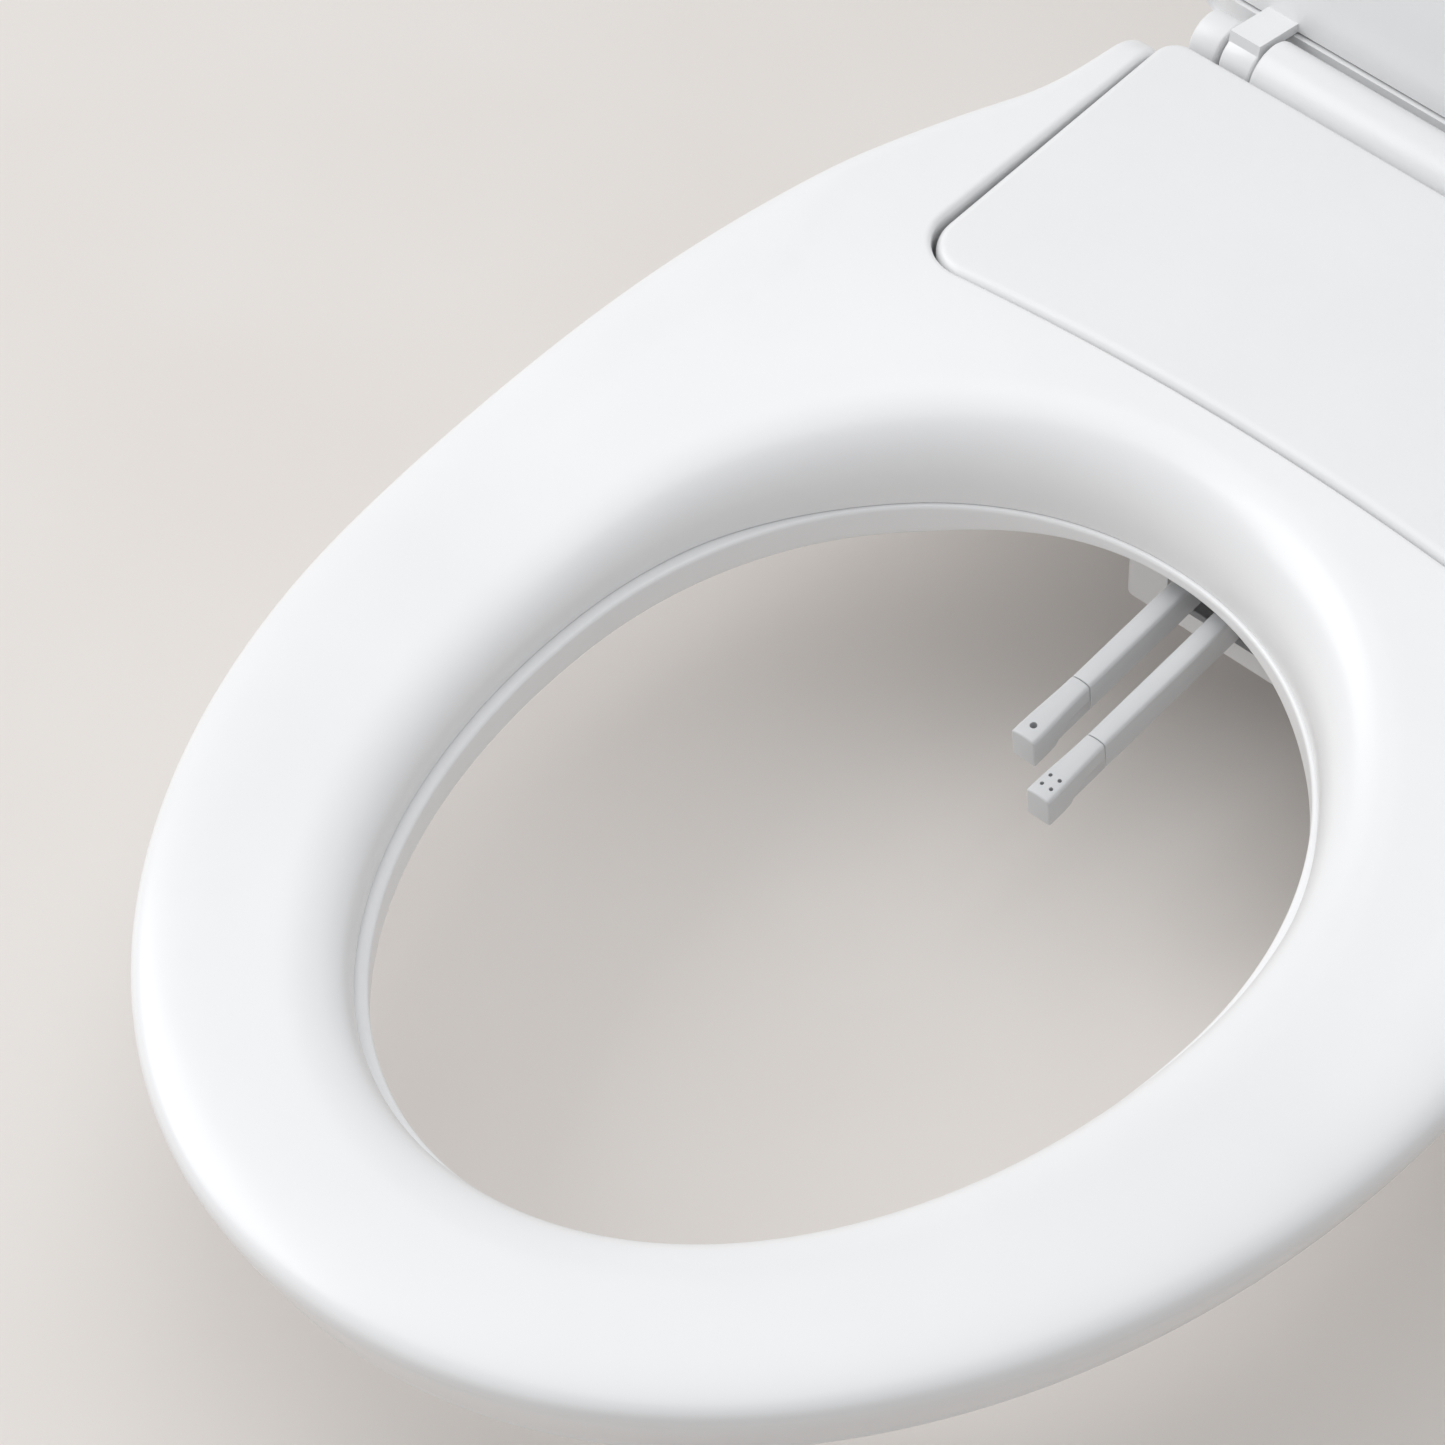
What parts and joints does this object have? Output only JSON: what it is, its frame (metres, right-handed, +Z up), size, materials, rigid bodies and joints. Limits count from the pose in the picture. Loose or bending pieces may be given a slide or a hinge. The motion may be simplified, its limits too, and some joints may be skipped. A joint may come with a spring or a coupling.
{
  "type": "electric bidet seat",
  "caption": "Electric bidet seat with a heated oval ring, a slim rear housing, a raised lid and two sliding wash nozzles, bolted to a toilet bowl.",
  "frame": {"origin": "midway between the two mounting bolts, on the underside of the mounting plate, which lies on the bowl's deck", "axes": "+Z up out of the bowl's deck, +X to the right and -Y forward for a person facing the toilet"},
  "size_m": [0.375, 0.6166, 0.6284],
  "materials": {
    "gloss_white": "polished moulded polypropylene",
    "satin_white": "satin moulded ABS",
    "nozzle_grey": "fine satin moulded plastic",
    "inner_grey": "plain moulded plastic",
    "black_plastic": "glass-filled nylon",
    "rubber": "soft grey elastomer",
    "brass": "turned",
    "steel": "brushed stainless",
    "circuit_board": "solder mask",
    "heater_foil": "printed foil",
    "smoked_lens": "polished infrared window",
    "button_grey": "fine satin moulded plastic"
  },
  "bodies": {
    "mount": {"mounting_plate": "black_plastic", "mounting_bolt_left": "steel", "rubber_washer_left": "rubber", "wing_nut_left": "satin_white", "mounting_bolt_right": "steel", "rubber_washer_right": "rubber", "wing_nut_right": "satin_white"},
    "housing": {"base_tray": "gloss_white", "top_cover": "satin_white", "receiver_lens": "smoked_lens", "seat_damper": "inner_grey", "lid_damper": "inner_grey", "water_inlet": "brass", "inlet_strainer": "steel", "solenoid_valve": "black_plastic", "flow_sensor": "inner_grey", "instant_heater": "steel", "water_pump": "black_plastic", "distributor_valve": "inner_grey", "blower_housing": "inner_grey", "dryer_duct": "inner_grey", "deodoriser_housing": "inner_grey", "control_board": "circuit_board", "power_supply": "circuit_board", "power_gland": "black_plastic", "nozzle_bay": "satin_white", "nozzle_gate": "nozzle_grey", "nozzle_carriage": "inner_grey", "rear_wash_motor": "steel", "front_wash_motor": "steel"},
    "seat": {"seat_upper_shell": "gloss_white", "seat_lower_shell": "gloss_white", "seat_heater": "heater_foil", "seat_bumper_front_left": "rubber", "seat_bumper_front_right": "rubber", "seat_bumper_rear_left": "rubber", "seat_bumper_rear_right": "rubber", "seat_pin_left": "steel", "seat_pin_right": "steel"},
    "lid": {"lid_shell": "gloss_white", "lid_liner": "gloss_white", "lid_bumper_left": "rubber", "lid_bumper_right": "rubber", "lid_pin_left": "steel", "lid_pin_right": "steel"},
    "rear_wash_nozzle": {"rear_wash_tip": "nozzle_grey", "rear_wash_tube": "nozzle_grey", "rear_wash_rack": "inner_grey"},
    "front_wash_nozzle": {"front_wash_tip": "nozzle_grey", "front_wash_tube": "nozzle_grey", "front_wash_rack": "inner_grey"},
    "rear_wash_pinion": {"rear_wash_pinion": "black_plastic"},
    "front_wash_pinion": {"front_wash_pinion": "black_plastic"},
    "blower_wheel": {"blower_wheel": "black_plastic"},
    "deodoriser_wheel": {"deodoriser_wheel": "black_plastic"},
    "filter_cartridge": {"filter_cartridge": "button_grey"},
    "power_button": {"power_button": "button_grey"},
    "wash_button": {"wash_button": "button_grey"},
    "release_button": {"release_button": "button_grey"}
  },
  "joints": [
    {"name": "housing_slide", "type": "slide", "parent": "mount", "child": "housing", "axis": [0, -1, 0], "range_m": [0, 0.05]},
    {"name": "seat_hinge", "type": "hinge", "parent": "housing", "child": "seat", "pos_m": [0, 0.014, 0.034], "axis": [-1, 0, 0], "range_deg": [0, 95]},
    {"name": "lid_hinge", "type": "hinge", "parent": "housing", "child": "lid", "pos_m": [0, 0.042, 0.044], "axis": [-1, 0, 0], "range_deg": [-100, 0]},
    {"name": "rear_wash_slide", "type": "slide", "parent": "housing", "child": "rear_wash_nozzle", "axis": [0, -0.9954, -0.0958], "range_m": [-0.0705, 0.0135]},
    {"name": "front_wash_slide", "type": "slide", "parent": "housing", "child": "front_wash_nozzle", "axis": [0, -0.9954, -0.0958], "range_m": [-0.084, 0]},
    {"name": "rear_wash_pinion_turn", "type": "hinge", "parent": "housing", "child": "rear_wash_pinion", "pos_m": [-0.0031, -0.0831, -0.00593], "axis": [1, 0, 0], "continuous": true},
    {"name": "front_wash_pinion_turn", "type": "hinge", "parent": "housing", "child": "front_wash_pinion", "pos_m": [0.0139, -0.0831, -0.00593], "axis": [1, 0, 0], "continuous": true},
    {"name": "blower_spin", "type": "hinge", "parent": "housing", "child": "blower_wheel", "pos_m": [-0.082, -0.034, 0.021], "axis": [0, 0, 1], "continuous": true},
    {"name": "deodoriser_spin", "type": "hinge", "parent": "housing", "child": "deodoriser_wheel", "pos_m": [0.08, 0.013, 0.0175], "axis": [0, 0, 1], "continuous": true},
    {"name": "filter_slide", "type": "slide", "parent": "housing", "child": "filter_cartridge", "axis": [0, 1, 0], "range_m": [0, 0.06]},
    {"name": "power_button_press", "type": "slide", "parent": "housing", "child": "power_button", "axis": [-1, 0, 0], "range_m": [0, 0.0012], "stiffness_N_per_m": 400},
    {"name": "wash_button_press", "type": "slide", "parent": "housing", "child": "wash_button", "axis": [-1, 0, 0], "range_m": [0, 0.0012], "stiffness_N_per_m": 400},
    {"name": "release_button_press", "type": "slide", "parent": "housing", "child": "release_button", "axis": [1, 0, 0], "range_m": [0, 0.0025], "stiffness_N_per_m": 600}
  ],
  "couplings": [
    {"joint": "rear_wash_pinion_turn", "follows": "rear_wash_slide", "rad_per_m": 200},
    {"joint": "front_wash_pinion_turn", "follows": "front_wash_slide", "rad_per_m": 200}
  ]
}
